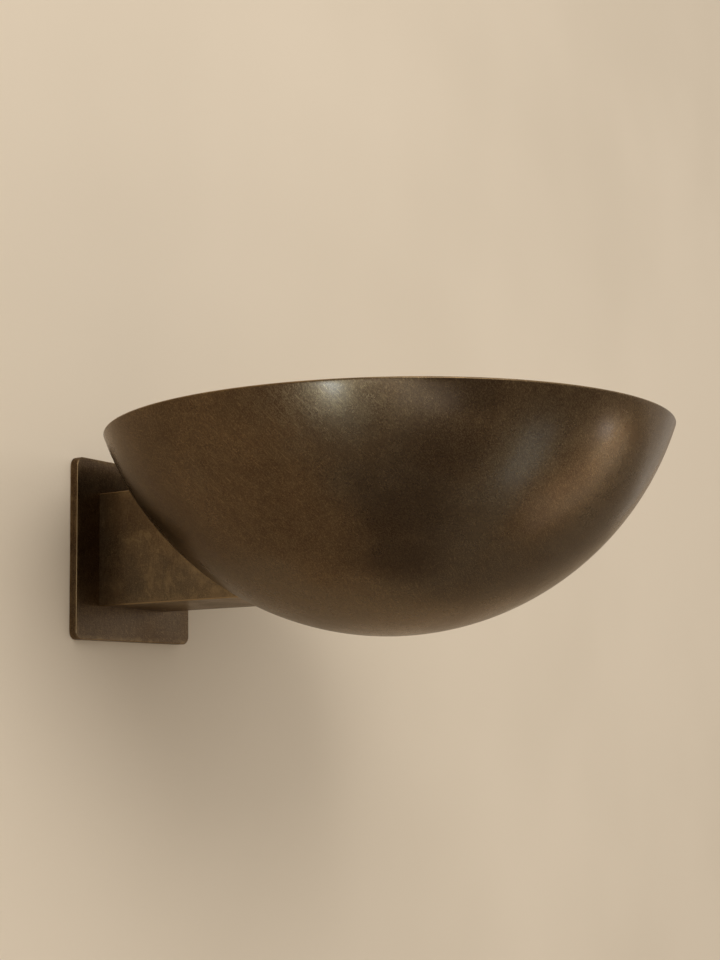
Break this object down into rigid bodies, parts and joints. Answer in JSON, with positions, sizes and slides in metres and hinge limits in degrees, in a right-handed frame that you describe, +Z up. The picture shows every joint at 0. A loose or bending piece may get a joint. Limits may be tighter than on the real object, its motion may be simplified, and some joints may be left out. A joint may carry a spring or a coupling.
{
  "type": "uplighter wall sconce",
  "caption": "Wall uplighter: spun metal bowl, open upwards, on a square box arm with a square wall plate, and a screw-in lamp lying in the bowl.",
  "frame": {"origin": "centre of the wall plate, on the wall, midway between the two wall screws", "axes": "+Y into the wall, +Z up, +X to the right for someone who faces the wall; the light stands out along -Y"},
  "size_m": [0.2994, 0.3257, 0.106],
  "materials": {
    "aged_bronze": "hand-brushed dark patina, waxed, satin",
    "plain_brass": "unlacquered brass, satin",
    "nickel_brass": "nickel plated, bright",
    "zinc_steel": "zinc plated",
    "black_steel": "blackened",
    "solder": "dull solder",
    "porcelain": "white, glazed",
    "terminal_plastic": "white, matt",
    "black_rubber": "matt",
    "lead_sheath": "heat-resistant, matt",
    "earth_insulation": "green with a yellow stripe",
    "neutral_insulation": "blue",
    "live_insulation": "brown",
    "lamp_glass": "frosted inside",
    "stem_glass": "clear",
    "black_glass": "opaque black",
    "filament_coating": "yellow coating"
  },
  "bodies": {
    "sconce": {"wall_bracket": "zinc_steel", "supply_bush": "black_rubber", "earth_stud": "plain_brass", "earth_ring_tag": "plain_brass", "earth_nut": "plain_brass", "earth_link": "earth_insulation", "terminal_block": "terminal_plastic", "terminal_clamps": "plain_brass", "terminal_screws": "zinc_steel", "terminal_fixing_screw": "zinc_steel", "wall_plate": "aged_bronze", "arm_tube": "aged_bronze", "grub_screws": "black_steel", "saddle_bar": "plain_brass", "bowl": "aged_bronze", "backing_plate": "aged_bronze", "bolt_washers": "black_steel", "bowl_bolts": "black_steel", "lamp_tube": "plain_brass", "tube_washer": "plain_brass", "tube_nuts": "plain_brass", "lamp_lead": "lead_sheath", "earth_core": "earth_insulation", "neutral_core": "neutral_insulation", "live_core": "live_insulation", "holder_cap": "plain_brass", "holder_shell": "plain_brass", "holder_insert": "porcelain", "holder_screw_shell": "nickel_brass", "holder_centre_contact": "nickel_brass"},
    "lamp": {"lamp_glass": "lamp_glass", "lamp_cap": "nickel_brass", "lamp_insulator": "black_glass", "lamp_tip_contact": "solder", "lamp_stem": "stem_glass", "lamp_spiders": "zinc_steel", "lamp_filaments": "filament_coating"}
  },
  "joints": [
    {"name": "lamp_unscrew", "type": "slide", "parent": "sconce", "child": "lamp", "axis": [0, -1, 0], "range_m": [0, 0.03]}
  ]
}
